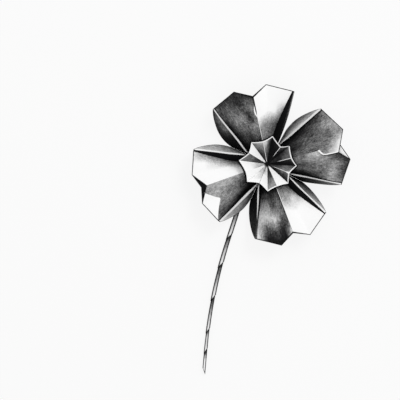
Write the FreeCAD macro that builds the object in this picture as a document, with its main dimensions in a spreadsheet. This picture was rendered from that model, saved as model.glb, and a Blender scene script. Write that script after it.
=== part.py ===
import FreeCAD, Part

# A folded paper flower lying face up: four petals folded from sheets of paper, a pleated paper star in the
# middle, a rolled paper hub under it, and a wire stem wrapped with a lapped strip of paper.
# Millimetres, +Z up. The flower is drawn about the axis of its head, on the surface it lies on, and then
# moved so that the origin is at the bottom centre of its box.

import math
import os

from FreeCAD import Vector

NODE_NAMES = ("petal_top", "petal_right", "petal_bottom", "petal_left",
              "centre_star", "hub_roll", "stem_wire", "stem_wrap")

# Driving sizes: alias, value and what it is. Lengths are in mm and angles in degrees, counted from +X.
SIZES = (
    ("paper", 0.3, "thickness of a folded wall, two layers of paper"),
    ("hub_radius", 4.0, "radius of the rolled hub that the petals are glued round"),
    ("hub_height", 3.0, "length of the rolled hub"),
    ("glue_line", 0.06, "gap that glue fills between the hub and a petal's root"),
    ("hub_top", 9.4, "height of the hub's top, which carries the star"),
    ("skirt_root", 2.2, "how far below the hub's top a skirt is glued on"),
    ("ridge_root", 0.6, "the same for a ridge"),
    ("valley_root", 1.2, "the same for a valley"),
    ("lobe_root", 1.0, "the same for the fold line inside a lobe"),
    ("crease_root", 0.8, "the same for the middle crease"),
    ("seam_gap", 1.0, "gap between two neighbouring petals along their seam"),
    ("throat_reach", 11.0, "distance from the axis at which a ridge leaves the seam"),
    ("throat_height", 11.4, "height of a ridge there"),
    ("corner_height", 17.6, "height of an outer corner"),
    ("tip_height", 16.4, "height of a lobe's tip"),
    ("notch_height", 17.2, "height of the notch between two lobes"),
    ("crease_height", 13.8, "height of the middle crease a third of the way out"),
    ("valley_height", 8.6, "height of the valley beside a ridge, where it is widest"),
    ("valley_dip", 0.6, "how much deeper a valley is where its ridge leaves the seam"),
    ("valley_width", 4.0, "width of the valley's outer wall, seen from above, on an open side"),
    ("valley_shut", 1.3, "the same on a side that is folded shut"),
    ("corner_blunt", 0.8, "width of the blunt end that the folds make at an outer corner"),
    ("skirt_reach", 25.0, "how far out two neighbouring skirts hang side by side"),
    ("skirt_height", 0.5, "height of a skirt's edge where it hangs lowest, before the curve sags"),
    ("skirt_lift", 4.4, "the same for the two skirts that the stem passes under"),
    ("tuck_depth", 9.0, "width of the margin tucked under the tips"),
    ("tuck_corner", 1.0, "the same at the outer corners, where the margin tapers off"),
    ("tuck_drop", 1.2, "how far the tucked margin hangs open"),
    ("star_reach", 17.7, "usual distance from the axis to a tip of the star"),
    ("star_waist", 14.5, "usual distance from the axis to a corner between two tips"),
    ("star_rise", 9.2, "height of a tip over the star's foot"),
    ("star_ridge_rise", 10.6, "height of a corner between two tips over the star's foot"),
    ("star_foot", 1.1, "radius of the star's flat foot"),
    ("star_hollow", 0.25, "how far the star's edge curves in between a tip and a corner"),
    ("wire_radius", 0.6, "radius of the stem's wire"),
    ("neck_radius", 1.5, "radius of the wrapped stem at the head"),
    ("foot_radius", 1.0, "radius of the wrapped stem at its free end"),
    ("lap_step", 0.16, "height of the step where the wrapping strip laps over itself"),
    ("lap_start", 18.2, "length of the plain stem between the second bend and the first lap"),
    ("lap_pitch", 21.2, "usual length of stem that one turn of the strip covers"),
    ("lap_slant", 30.0, "angle between a lap's edge and the stem"),
    ("cut_slant", 25.0, "angle between the cut at the free end and the stem, slanting the other way"),
    ("neck_bend", 4.2, "radius of the bend under the head, on the wire's axis"),
    ("neck_heading", 234.0, "direction in which the stem leaves the hub"),
    ("neck_run", 16.8, "straight length between the two bends"),
    ("turn_bend", 42.0, "radius of the second bend, on the wire's axis"),
    ("turn_heading", 252.0, "direction of the stem after the second bend"),
    ("stem_run", 20.0, "straight length after the second bend"),
    ("bow_bend", 320.0, "radius of the gentle bow of the stem"),
    ("foot_heading", 265.0, "direction of the stem at its free end"),
    ("foot_run", 15.0, "straight length at the free end"),
    ("top_corner", 48.6, "distance from the axis to the top petal's outer corners"),
    ("top_notch", 43.3, "distance from the axis to its notch"),
    ("top_tip", 50.2, "distance from the axis to its lobes' tips"),
    ("top_peek", 0.5, "how far its tucked margin shows past the notch"),
    ("right_corner", 48.4, "distance from the axis to the right petal's outer corners"),
    ("right_notch", 45.4, "distance from the axis to its notch"),
    ("right_tip", 52.4, "distance from the axis to its lobes' tips"),
    ("right_peek", 2.0, "how far its tucked margin shows past the notch"),
    ("bottom_corner", 47.9, "distance from the axis to the bottom petal's outer corners"),
    ("bottom_notch", 46.0, "distance from the axis to its notch"),
    ("bottom_tip", 52.2, "distance from the axis to its lobes' tips"),
    ("bottom_peek", 0.5, "how far its tucked margin shows past the notch"),
    ("left_corner", 47.4, "distance from the axis to the left petal's outer corners"),
    ("left_notch", 41.0, "distance from the axis to its notch"),
    ("left_tip", 48.2, "distance from the axis to its lobes' tips"),
    ("left_peek", 3.4, "how far its tucked margin shows past the notch"),
    ("seam_top_left", 154.0, "direction of the seam between the top and left petals"),
    ("seam_top_right", 61.0, "direction of the seam between the top and right petals"),
    ("seam_bottom_right", -26.0, "direction of the seam between the right and bottom petals"),
    ("seam_bottom_left", -115.0, "direction of the seam between the bottom and left petals"),
    ("top_left_inset", 19.3, "angle from that seam to the top petal's corner"),
    ("top_right_inset", 9.0, "the same on the top petal's other side"),
    ("right_top_inset", 15.5, "angle from the seam to the right petal's upper corner"),
    ("right_bottom_inset", 10.8, "the same for its lower corner"),
    ("bottom_right_inset", 14.1, "angle from the seam to the bottom petal's right corner"),
    ("bottom_left_inset", 16.0, "the same for its left corner"),
    ("left_bottom_inset", 15.0, "angle from the seam to the left petal's lower corner"),
    ("left_top_inset", 15.1, "the same for its upper corner"),
    ("top_left_turn", 12.6, "angle from the top petal's middle to its left tip"),
    ("top_right_turn", 11.2, "the same for its right tip"),
    ("right_top_turn", 9.4, "angle from the right petal's middle to its upper tip"),
    ("right_bottom_turn", 11.8, "the same for its lower tip"),
    ("bottom_right_turn", 10.6, "angle from the bottom petal's middle to its right tip"),
    ("bottom_left_turn", 10.6, "the same for its left tip"),
    ("left_bottom_turn", 11.6, "angle from the left petal's middle to its lower tip"),
    ("left_top_turn", 11.2, "the same for its upper tip"),
)

# The star is folded by hand and so a little uneven. These are its tips and the corners between them in
# turn, clockwise: their directions, and their distances from the axis as shares of the usual ones.
STAR_ANGLES = (79.7, 52.5, 39.5, 13.5, -3.7, -23.0, -43.2, -67.5,
               -89.7, -113.5, -138.9, -160.0, -187.0, -210.0, -233.0, -258.5)
STAR_SHARES = (1.005, 0.94, 1.01, 1.08, 1.045, 1.03, 1.015, 1.06,
               0.98, 0.91, 0.97, 1.02, 1.03, 0.945, 0.96, 1.0)

# Lengths of the strip's turns as shares of the pitch, wound by hand and so a little uneven.
LAP_SHARES = (0.885, 1.015, 0.995)

# A fold sharper than this (one plus the cosine between its two sides) has a blunt inside corner.
SHARPEST_MITRE = 0.45

document = FreeCAD.newDocument("PaperFlower")
sheet = document.addObject("Spreadsheet::Sheet", "Sizes")
for row, (alias, value, meaning) in enumerate(SIZES, start=1):
    sheet.set(f"A{row}", meaning)
    sheet.set(f"B{row}", str(value))
    sheet.setAlias(f"B{row}", alias)
document.recompute()


def size(alias):
    """A driving size, read from the sheet."""
    return float(sheet.get(alias))


def polar(reach, angle, height):
    """The point at that distance and direction from the head's axis."""
    turn = math.radians(angle)
    return Vector(reach * math.cos(turn), reach * math.sin(turn), height)


def between(start, end, share):
    """The point or number at that share of the way from start to end."""
    return start + (end - start) * share


def smooth_edge(points):
    """A smooth edge through the points."""
    curve = Part.BSplineCurve()
    curve.interpolate(points)
    return curve.toShape()


def paper_solid(lines, thickness):
    """A folded sheet as a closed solid. lines are its fold lines and free edges, side by side and clockwise
    seen from above, each a list of as many points from root to end. The sheet is ruled from each line to the
    next, and its thickness goes to the underside, mitred at the folds."""
    count = len(lines)
    stations = len(lines[0])

    def panel_normal(index, station):
        across = lines[index + 1][station] - lines[index][station]
        middle = [between(lines[index][near], lines[index + 1][near], 0.5)
                  for near in (max(station - 1, 0), min(station + 1, stations - 1))]
        return across.cross(middle[1] - middle[0]).normalize()

    def under(index, station):
        first = panel_normal(max(index - 1, 0), station)
        second = panel_normal(min(index, count - 2), station)
        mitre = max(1 + first.dot(second), SHARPEST_MITRE)
        return lines[index][station] - (first + second) * (thickness / mitre)

    lower = [[under(index, station) for station in range(stations)] for index in range(count)]
    upper_edges = [smooth_edge(line) for line in lines]
    lower_edges = [smooth_edge(line) for line in lower]
    faces = [Part.makeRuledSurface(upper_edges[0], lower_edges[0]),
             Part.makeRuledSurface(upper_edges[-1], lower_edges[-1])]
    for index in range(count - 1):
        faces.append(Part.makeRuledSurface(upper_edges[index], upper_edges[index + 1]))
        faces.append(Part.makeRuledSurface(lower_edges[index], lower_edges[index + 1]))
        for station in (0, stations - 1):
            near, far = lines[index][station], lines[index + 1][station]
            faces.append(Part.Face(Part.makePolygon([near, far, lower[index + 1][station], near])))
            faces.append(Part.Face(Part.makePolygon([near, lower[index + 1][station],
                                                     lower[index][station], near])))
    return closed_solid(faces)


def closed_solid(faces):
    """The solid that the faces close, facing outwards."""
    sewn = Part.makeCompound(faces)
    sewn.sewShape()
    solid = Part.Solid(sewn.Shells[0])
    if solid.Volume < 0:
        solid.reverse()
    return solid


def petal_side(seam, corner, middle, reach, tip_reach, tip_turn, valley_width, skirt_floor, near_flare,
               far_flare):
    """The fold lines of one side of a petal from its skirt to its lobe: skirt edge, ridge, valley, lobe.
    seam and corner are directions, and the petal lies towards middle from the seam. reach is the distance
    to the corner and tip_turn the angle from the middle to the tip. A flare is 0 for a skirt that hangs
    under its ridge and 1 for one that reaches the seam, first up to skirt_reach and then past it."""
    inward = 1 if middle > seam else -1
    root = size("hub_radius") + size("glue_line")
    throat = size("throat_reach")
    hub_top = size("hub_top")
    blunt = size("corner_blunt")

    def on_seam(distance, height):
        aside = math.degrees(math.asin(size("seam_gap") / 2 / distance))
        return polar(distance, seam + inward * aside, height)

    corner_point = polar(reach, corner, size("corner_height"))
    inside = polar(1, corner + inward * 90, 0)

    ridge = [on_seam(root, hub_top - size("ridge_root"))]
    throat_point = on_seam(throat, size("throat_height"))
    ridge += [between(throat_point, corner_point, share) for share in (0, 0.3, 0.56, 0.8, 1)]

    skirt_end = corner_point - inside * (blunt / 2) - Vector(0, 0, 1.5 * blunt)
    skirt_reach = size("skirt_reach")
    hang = throat_point.z - skirt_floor
    skirt = [
        on_seam(root, hub_top - size("skirt_root")),
        on_seam(throat, skirt_floor + 0.42 * hang),
        on_seam(skirt_reach, skirt_floor + 0.06 * hang),
        polar(between(skirt_reach, reach, 0.36), between(corner, seam, 0.76), skirt_floor),
        polar(between(skirt_reach, reach, 0.68), between(corner, seam, 0.42), skirt_floor + 0.5 * hang),
        skirt_end,
    ]

    for station, flare in zip(range(1, len(skirt) - 1), (near_flare, near_flare, far_flare, far_flare)):
        hanging = Vector(ridge[station].x, ridge[station].y, skirt[station].z)
        skirt[station] = between(hanging, skirt[station], flare)

    deep = size("valley_height")
    depths = (deep - size("valley_dip"), deep, between(deep, corner_point.z, 0.3),
              between(deep, corner_point.z, 0.68), corner_point.z - 0.5 * blunt)
    shares = (0.75, 1.0, 0.8, 0.5)
    valley = [polar(root, between(seam, middle, 0.33), hub_top - size("valley_root"))]
    for point, depth, share in zip(ridge[1:], depths, shares):
        moved = point + inside * (valley_width * share)
        valley.append(Vector(moved.x, moved.y, depth))
    end = corner_point + inside * blunt
    valley.append(Vector(end.x, end.y, depths[-1]))

    outward_turn = -inward * tip_turn
    tip = size("tip_height")
    crease = size("crease_height")
    lobe_heights = (between(deep, crease, 0.3), between(deep, crease, 0.68),
                    between(crease, tip, 0.25), between(crease, tip, 0.75), tip)
    lobe_reaches = [throat] + [between(throat, tip_reach, share) for share in (0.26, 0.5, 0.75, 1)]
    lobe_turns = (1.5, 1.35, 1.2, 1.1, 1.0)
    lobe = [polar(root, between(seam, middle, 0.66), hub_top - size("lobe_root"))]
    lobe += [polar(distance, middle + outward_turn * turn, height)
             for distance, turn, height in zip(lobe_reaches, lobe_turns, lobe_heights)]
    return [skirt, ridge, valley, lobe]


def petal(name, sides):
    """A petal: its folded front and its tucked margin. sides gives, counter-clockwise side first, the
    direction of the seam, the inset of the corner, the turn of the tip, the valley's width, the skirt's
    height and its two flares."""
    paper = size("paper")
    seams = [side[0] for side in sides]
    corners = (seams[0] - sides[0][1], seams[1] + sides[1][1])
    middle = sum(corners) / 2
    notch_reach = size(name + "_notch")
    reach = size(name + "_corner")
    tip_reach = size(name + "_tip")
    left, right = [petal_side(side[0], corner, middle, reach, tip_reach, *side[2:])
                   for side, corner in zip(sides, corners)]
    root = size("hub_radius") + size("glue_line")
    hub_top = size("hub_top")
    low = size("crease_height")
    high = size("notch_height")
    crease_heights = (hub_top - size("crease_root"), between(hub_top, low, 0.35), low,
                      between(low, high, 0.5), between(low, high, 0.82), high)
    crease_shares = (0, 0.2, 0.42, 0.64, 0.84, 1)
    crease = [polar(between(root, notch_reach, share), middle, height)
              for share, height in zip(crease_shares, crease_heights)]
    front = paper_solid(left + [crease] + right[::-1], paper)

    peek = polar(notch_reach + size(name + "_peek"), middle, high)
    deep = size("tuck_depth")
    narrow = size("tuck_corner")
    outer = ((left[2][-1], narrow), (left[3][-1], deep), (peek, deep), (right[3][-1], deep),
             (right[2][-1], narrow))
    sink = Vector(0, 0, paper * 0.5)
    margin = []
    for point, width in outer:
        share = width / math.hypot(point.x, point.y)
        inner = point * (1 - share) + Vector(0, 0, point.z * share - size("tuck_drop") - paper)
        start = between(point, inner, 0.01) - sink
        margin.append([inner, between(start, inner, 0.5) - sink, start])
    tuck = paper_solid(margin, paper)
    return front.fuse(tuck)


def star():
    """The pleated star: creases run from a small foot out to tips and corners, and the edge curves in
    between them. A crease to a tip is a valley and a crease to a corner is a ridge."""
    paper = size("paper")
    foot = size("hub_top")
    rim = []
    for index, (angle, share) in enumerate(zip(STAR_ANGLES, STAR_SHARES)):
        reach, rise = ("star_waist", "star_ridge_rise") if index % 2 else ("star_reach", "star_rise")
        rim.append((angle, size(reach) * share, foot + size(rise)))

    def layer(lift):
        inner = [polar(size("star_foot"), angle, foot + lift) for angle, _, _ in rim]
        outer = [polar(reach, angle, height + lift) for angle, reach, height in rim]
        return inner, outer

    def rim_edge(first, second):
        middle = between(first, second, 0.5)
        pull = Vector(-middle.x, -middle.y, 0).normalize() * size("star_hollow")
        return Part.Arc(first, middle + pull, second).toShape()

    upper_inner, upper_outer = layer(paper)
    lower_inner, lower_outer = layer(0)
    faces = [Part.Face(Part.makePolygon(ring + ring[:1])) for ring in (upper_inner, lower_inner)]
    for index in range(len(rim)):
        following = (index + 1) % len(rim)
        upper = rim_edge(upper_outer[index], upper_outer[following])
        lower = rim_edge(lower_outer[index], lower_outer[following])
        faces.append(Part.makeRuledSurface(Part.makeLine(upper_inner[index], upper_inner[following]), upper))
        faces.append(Part.makeRuledSurface(Part.makeLine(lower_inner[index], lower_inner[following]), lower))
        faces.append(Part.makeRuledSurface(upper, lower))
    return closed_solid(faces)


def hub():
    """The rolled hub, with a bore for the wire."""
    roll = document.addObject("Part::Cylinder", "HubRoll")
    roll.setExpression("Radius", "Sizes.hub_radius")
    roll.setExpression("Height", "Sizes.hub_height")
    roll.setExpression("Placement.Base.z", "Sizes.hub_top - Sizes.hub_height")
    bore = document.addObject("Part::Cylinder", "HubBore")
    bore.setExpression("Radius", "Sizes.wire_radius")
    bore.setExpression("Height", "Sizes.hub_height")
    bore.setExpression("Placement.Base.z", "Sizes.hub_top - Sizes.hub_height")
    bored = document.addObject("Part::Cut", "BoredHub")
    bored.Base = roll
    bored.Tool = bore
    document.recompute()
    return bored.Shape


def heading(angle):
    """The level unit vector in that direction."""
    return polar(1, angle, 0)


def level_arc(start, first, last, radius):
    """A level arc that leaves start in direction first and turns left to direction last."""
    centre = start + heading(first + 90) * radius
    middle = centre - heading((first + last) / 2 + 90) * radius
    return Part.Arc(start, middle, centre - heading(last + 90) * radius).toShape()


def stem_route():
    """The wire's axis as tangent lines and arcs: down through the hub, round to lie level, and away. The
    list's last three edges are the long straight run, the bow and the straight free end."""
    lying = size("neck_radius") + size("lap_step")
    bend = size("neck_bend")
    away = heading(size("neck_heading"))
    top = Vector(0, 0, size("hub_top"))
    bend_start = Vector(0, 0, lying + bend)
    bend_centre = bend_start + away * bend
    bend_middle = bend_centre + (Vector(0, 0, -1) - away) * (bend * math.sqrt(0.5))
    bend_end = bend_centre - Vector(0, 0, bend)
    turn_start = bend_end + away * size("neck_run")
    turn = level_arc(turn_start, size("neck_heading"), size("turn_heading"), size("turn_bend"))
    turn_end = turn.Vertexes[-1].Point
    bow_start = turn_end + heading(size("turn_heading")) * size("stem_run")
    bow = level_arc(bow_start, size("turn_heading"), size("foot_heading"), size("bow_bend"))
    foot_start = bow.Vertexes[-1].Point
    foot_end = foot_start + heading(size("foot_heading")) * size("foot_run")
    return [
        Part.makeLine(top, bend_start),
        Part.Arc(bend_start, bend_middle, bend_end).toShape(),
        Part.makeLine(bend_end, turn_start),
        turn,
        Part.makeLine(turn_end, bow_start),
        bow,
        Part.makeLine(foot_start, foot_end),
    ]


def round_pipe(edges, radius):
    """A round bar of that radius along the edges."""
    start = edges[0].valueAt(edges[0].FirstParameter)
    direction = edges[0].tangentAt(edges[0].FirstParameter)
    section = Part.Wire([Part.makeCircle(radius, start, direction)])
    return Part.Wire(edges).makePipeShell([section], True, False)


def slanting_cutter(point, along, lean):
    """A block that takes away what lies past a plane through the point, which leans by that angle from a
    square cut."""
    turn = FreeCAD.Rotation(Vector(0, 0, 1), lean)
    reach = 6 * size("neck_radius")
    return Part.makeCylinder(reach, 2 * reach, point, turn.multVec(along))


def lap_places(stretch):
    """How far along the stretch each lap's edge lies. The last one lies at its end."""
    pitch = size("lap_pitch")
    places = [size("lap_start")]
    while stretch - places[-1] > 1.2 * pitch:
        places.append(places[-1] + pitch * LAP_SHARES[(len(places) - 1) % len(LAP_SHARES)])
    return places + [stretch]


def lapped_strip(route):
    """The wrapped stem as a solid bar: plain under the head, then one slightly widening lap for each turn
    of the strip, each with a slanting edge and the next tucked into it, and a plain free end."""
    neck = size("neck_radius")
    foot = size("foot_radius")
    step = size("lap_step")
    lean = 90 - size("lap_slant")
    straight, bow = route[4:6]
    stretch = straight.Length + bow.Length

    def on_stem(distance):
        edge = straight if distance <= straight.Length else bow
        before = 0 if edge is straight else straight.Length
        parameter = edge.getParameterByLength(min(distance - before, edge.Length))
        return edge.valueAt(parameter), edge.tangentAt(parameter).normalize()

    places = lap_places(stretch)
    start_distance = places[0]
    first_point, first_along = on_stem(start_distance)
    overlap = (neck + 2 * step) * math.tan(math.radians(lean))
    turn_end = straight.valueAt(straight.FirstParameter)
    plain = Part.makeCylinder(neck, start_distance + overlap, turn_end, first_along)
    lengths = [plain.cut(slanting_cutter(first_point, first_along, lean))]
    for near, far in zip(places[:-1], places[1:]):
        here, _ = on_stem(near)
        there, along = on_stem(far)
        run = there - here
        narrow = between(neck, foot, (near - start_distance) / (stretch - start_distance)) - step
        wide = between(neck, foot, (far - start_distance) / (stretch - start_distance)) + step
        direction = Vector(run).normalize()
        tucked = here - direction * overlap
        length = run.Length + 2 * overlap
        cone = Part.makeCone(narrow, wide, length, tucked, direction)
        lengths.append(cone.cut(slanting_cutter(there, along, lean)))
    foot_start = route[6].valueAt(route[6].FirstParameter)
    foot_along = heading(size("foot_heading"))
    lengths.append(Part.makeCylinder(foot, size("foot_run") + overlap,
                                     foot_start - foot_along * overlap, foot_along))
    return round_pipe(route[:4], neck).multiFuse(lengths)


def stem():
    """The wire and the wrapping, cut off at one slant at the free end. The wrapping starts at the hub."""
    route = stem_route()
    end = route[6].valueAt(route[6].LastParameter)
    along = heading(size("foot_heading"))
    slant = size("cut_slant")
    tip_length = size("foot_radius") / math.tan(math.radians(slant))
    cutter = slanting_cutter(end - along * tip_length, along, slant - 90)
    wire = round_pipe(route, size("wire_radius"))
    strip = lapped_strip(route)
    above_hub_foot = Part.makeCylinder(size("hub_radius"), 2 * size("hub_height"),
                                       Vector(0, 0, size("hub_top") - size("hub_height")))
    return wire.cut(cutter), strip.cut(above_hub_foot).cut(wire).cut(cutter)


seam_top_left = size("seam_top_left")
seam_top_right = size("seam_top_right")
seam_bottom_right = size("seam_bottom_right")
seam_bottom_left = size("seam_bottom_left")
open_valley = size("valley_width")
shut_valley = size("valley_shut")
low = size("skirt_height")
lifted = size("skirt_lift")

wire, strip = stem()
shapes = {
    "petal_top": petal("top", (
        (seam_top_left, size("top_left_inset"), size("top_left_turn"), shut_valley, low, 1.0, 1.0),
        (seam_top_right, size("top_right_inset"), size("top_right_turn"), open_valley, low, 0.5, 0.5))),
    "petal_right": petal("right", (
        (seam_top_right, size("right_top_inset"), size("right_top_turn"), shut_valley, low, 1.0, 1.0),
        (seam_bottom_right, size("right_bottom_inset"), size("right_bottom_turn"), shut_valley, low, 1.0,
         0.75))),
    "petal_bottom": petal("bottom", (
        (seam_bottom_right, size("bottom_right_inset"), size("bottom_right_turn"), open_valley, low, 1.0,
         0.9),
        (seam_bottom_left, size("bottom_left_inset"), size("bottom_left_turn"), shut_valley, lifted, 1.0,
         0.9))),
    "petal_left": petal("left", (
        (seam_bottom_left + 360, size("left_bottom_inset"), size("left_bottom_turn"), shut_valley, lifted,
         1.0, 1.0),
        (seam_top_left, size("left_top_inset"), size("left_top_turn"), open_valley, low, 1.0, 1.0))),
    "centre_star": star(),
    "hub_roll": hub(),
    "stem_wire": wire,
    "stem_wrap": strip,
}

# The origin goes to the bottom centre of the flower's box.
box = Part.makeCompound(list(shapes.values())).optimalBoundingBox(False)
origin = Vector(box.Center.x, box.Center.y, box.ZMin)
nodes = []
for name in NODE_NAMES:
    node = document.addObject("Part::Feature", name)
    node.Label = name
    node.Shape = shapes[name]
    node.Placement = FreeCAD.Placement(-origin, FreeCAD.Rotation())
    nodes.append(node)
document.recompute()

for item in document.Objects:
    if "Invalid" in item.State or "Error" in item.State:
        raise RuntimeError(f"{item.Name} failed: {item.State}")
for node in nodes:
    if node.Shape.isNull() or not node.Shape.isValid():
        raise RuntimeError(f"{node.Label} has no valid shape")

os.makedirs("parts", exist_ok=True)
for node in nodes:
    node.Shape.exportStep(f"parts/{node.Label}.step")
    limits = node.Shape.optimalBoundingBox(False)
    print(f"{node.Label}: {len(node.Shape.Solids)} solid, {node.Shape.Volume:.1f} mm3, "
          f"x {limits.XMin:.2f} to {limits.XMax:.2f}, y {limits.YMin:.2f} to {limits.YMax:.2f}, "
          f"z {limits.ZMin:.2f} to {limits.ZMax:.2f}")
print(f"the head's axis is at x {-origin.x:.3f}, y {-origin.y:.3f}; the surface is at z {-origin.z:.3f}")
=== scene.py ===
# %% [markdown]
# # A folded paper flower, dressed in Blender
#
# The flower is four folded petals, a pleated star in their middle, a small roll of paper that everything is
# glued to, and a wire stem wrapped with a strip of paper. Light and shade are painted into the paper's
# colour
# as soft pencil: black painted shade in the folds, and bare white painted highlights along the ridges. The
# imported model gives every place, so it is loaded first, and the flower is drawn in millimetres about the
# axis of its head.

# %% Load the frame
import math

import bpy
import numpy as np
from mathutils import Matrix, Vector


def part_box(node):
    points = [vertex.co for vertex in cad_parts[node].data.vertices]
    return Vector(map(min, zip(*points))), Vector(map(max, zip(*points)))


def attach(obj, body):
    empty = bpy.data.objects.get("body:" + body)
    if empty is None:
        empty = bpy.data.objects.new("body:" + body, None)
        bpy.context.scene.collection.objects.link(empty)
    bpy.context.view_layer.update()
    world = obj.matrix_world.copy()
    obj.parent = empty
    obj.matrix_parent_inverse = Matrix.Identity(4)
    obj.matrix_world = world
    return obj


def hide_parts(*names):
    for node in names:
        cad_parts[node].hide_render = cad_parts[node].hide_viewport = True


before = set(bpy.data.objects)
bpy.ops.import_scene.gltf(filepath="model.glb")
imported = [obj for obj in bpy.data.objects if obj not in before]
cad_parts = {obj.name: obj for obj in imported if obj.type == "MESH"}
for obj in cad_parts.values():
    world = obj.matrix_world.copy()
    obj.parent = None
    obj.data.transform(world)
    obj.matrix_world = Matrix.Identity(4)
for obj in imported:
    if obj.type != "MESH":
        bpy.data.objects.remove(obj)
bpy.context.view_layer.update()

MM = 0.001
HUB_TOP = 9.4
hub_low, hub_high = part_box("hub_roll")
HUB_RADIUS = (hub_high.x - hub_low.x) / 2 / MM
HEAD = np.array([(hub_low.x + hub_high.x) / 2, (hub_low.y + hub_high.y) / 2, hub_high.z - HUB_TOP * MM])
print("nodes:", ", ".join(sorted(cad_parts)))
print("the head is at", HEAD.round(4), "m, and the hub's radius is", round(HUB_RADIUS, 2), "mm")

# %% [markdown]
# ## Camera
#
# A flat thing is looked at from straight above. A long lens from far away keeps the high petals and the low
# stem at nearly one scale. The camera's distance follows from the width that it must show at the height of
# the petals, and it stands to the lower left of the head, so that the stem has room.

# %% Camera
LENS, SENSOR = 200.0, 36.0
PICTURE_WIDTH = 252.0
PETAL_HEIGHT = 15.0
PICTURE_MIDDLE = np.array([-42.5, -22.7])


def add_object(name, data):
    """A new object with that data, linked into the scene."""
    made = bpy.data.objects.new(name, data)
    bpy.context.scene.collection.objects.link(made)
    return made


camera = add_object("camera", bpy.data.cameras.new("camera"))
camera.data.lens = LENS
camera.data.sensor_width = SENSOR
camera.data.clip_end = 20.0
camera_height = (PICTURE_WIDTH * LENS / SENSOR + PETAL_HEIGHT) * MM
camera.location = (*(HEAD[:2] + PICTURE_MIDDLE * MM), camera_height)
bpy.context.scene.camera = camera
print("the camera stands at", round(camera_height, 3), "m")

# %% [markdown]
# ## Shader maths
#
# A shader is a formula, and a formula is easier to read as text than as boxes and wires. `Value` wraps one
# output of a node, and Python's own signs add the Math nodes. `Finish` holds a material while it is made.


# %% Shader maths
def sign(operation, swapped=False):
    """A method that joins a value and another one by a Math node. swapped puts the other one first."""

    def method(self, other):
        pair = (other, self) if swapped else (self, other)
        return self.finish.node("Math", dict(enumerate(pair)), operation=operation)

    return method


class Value:
    """One output of a shader node. Arithmetic on it adds Math nodes."""

    def __init__(self, finish, socket):
        self.finish = finish
        self.socket = socket

    __add__ = __radd__ = sign("ADD")
    __sub__, __rsub__ = sign("SUBTRACT"), sign("SUBTRACT", True)
    __mul__, __truediv__, __pow__ = sign("MULTIPLY"), sign("DIVIDE"), sign("POWER")
    larger = sign("MAXIMUM")

    def clamped(self):
        return self.finish.node("Clamp", {"Value": self})


class Finish:
    """A material under construction."""

    def __init__(self, name):
        self.material = bpy.data.materials.new(name)
        self.material.use_nodes = True
        self.tree = self.material.node_tree
        self.tree.nodes.clear()

    def node(self, kind, inputs, output=0, **settings):
        """Adds a node, applies its settings and fills its sockets. Gives the chosen output as a Value."""
        made = self.tree.nodes.new("ShaderNode" + kind)
        for setting, choice in settings.items():
            setattr(made, setting, choice)
        for key, content in inputs.items():
            socket = made.inputs[key]
            if isinstance(content, Value):
                self.tree.links.new(content.socket, socket)
            else:
                socket.default_value = content
        return Value(self, made.outputs[output]) if made.outputs else None

    def noise(self, place, scale, detail, roughness=0.5, dimensions="3D"):
        """Noise from 0 to 1, with that many waves in each unit of length."""
        inputs = {"Vector": place, "Scale": scale, "Detail": detail, "Roughness": roughness}
        return self.node("TexNoise", inputs, "Fac", noise_dimensions=dimensions)

    def surface(self, shader):
        """Ends the tree with that shader and gives the material."""
        self.node("OutputMaterial", {"Surface": shader})
        return self.material


print("shader classes:", Value.__name__, Finish.__name__)

# %% [markdown]
# ## Floor and light
#
# A floor of white paper carries the flower. To the camera it glows a little, so that it reads as a clean
# sheet, and it still takes the flower's shadow. Most of the light comes from everywhere and the rest from
# one soft lamp at the upper right. Together they light a level sheet just so much that a colour shows about
# as it is written: a lamp of P watts at a distance of d metres does that with P = (pi d)^2.

# %% Floor and light
LAMP_OFFSET = Vector((0.42, 0.52, 0.95))
LAMP_SIZE = 0.42
LAMP_SHARE = 0.30
SKY_SHARE = 0.74
FLOOR_SIZE = 3.0
FLOOR_WHITE = 0.90
FLOOR_GLOW, GLOW_STRENGTH = 0.88, 0.97

lamp_data = bpy.data.lights.new("soft_lamp", "AREA")
lamp_data.size = LAMP_SIZE
lamp_data.energy = LAMP_SHARE * (math.pi * LAMP_OFFSET.length) ** 2 * LAMP_OFFSET.length / LAMP_OFFSET.z
lamp = add_object("soft_lamp", lamp_data)
lamp.location = Vector(HEAD) + LAMP_OFFSET
lamp.rotation_euler = LAMP_OFFSET.to_track_quat("Z", "Y").to_euler()

world = bpy.data.worlds.new("soft_sky")
bpy.context.scene.world = world
world.use_nodes = True
sky = world.node_tree.nodes["Background"]
sky.inputs["Color"].default_value = (1, 1, 1, 1)
sky.inputs["Strength"].default_value = SKY_SHARE
bpy.context.scene.view_settings.view_transform = "Standard"

floor_finish = Finish("floor_sheet")
matt = floor_finish.node("BsdfDiffuse", {"Color": (FLOOR_WHITE,) * 3 + (1,)})
glow = floor_finish.node("Emission", {"Color": (1, 1, 1, 1), "Strength": GLOW_STRENGTH})
seen = floor_finish.node("LightPath", {}, "Is Camera Ray")
floor_shader = floor_finish.node("MixShader", {0: seen * FLOOR_GLOW, 1: matt, 2: glow})
half = FLOOR_SIZE / 2
floor_mesh = bpy.data.meshes.new("floor_sheet")
floor_mesh.from_pydata([(-half, -half, 0), (half, -half, 0), (half, half, 0), (-half, half, 0)], [],
                       [(0, 1, 2, 3)])
floor_mesh.materials.append(floor_finish.surface(floor_shader))
floor = add_object("floor_sheet", floor_mesh)
print("lamp of", round(lamp_data.energy, 2), "W at", round(LAMP_OFFSET.length, 2), "m")
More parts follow.
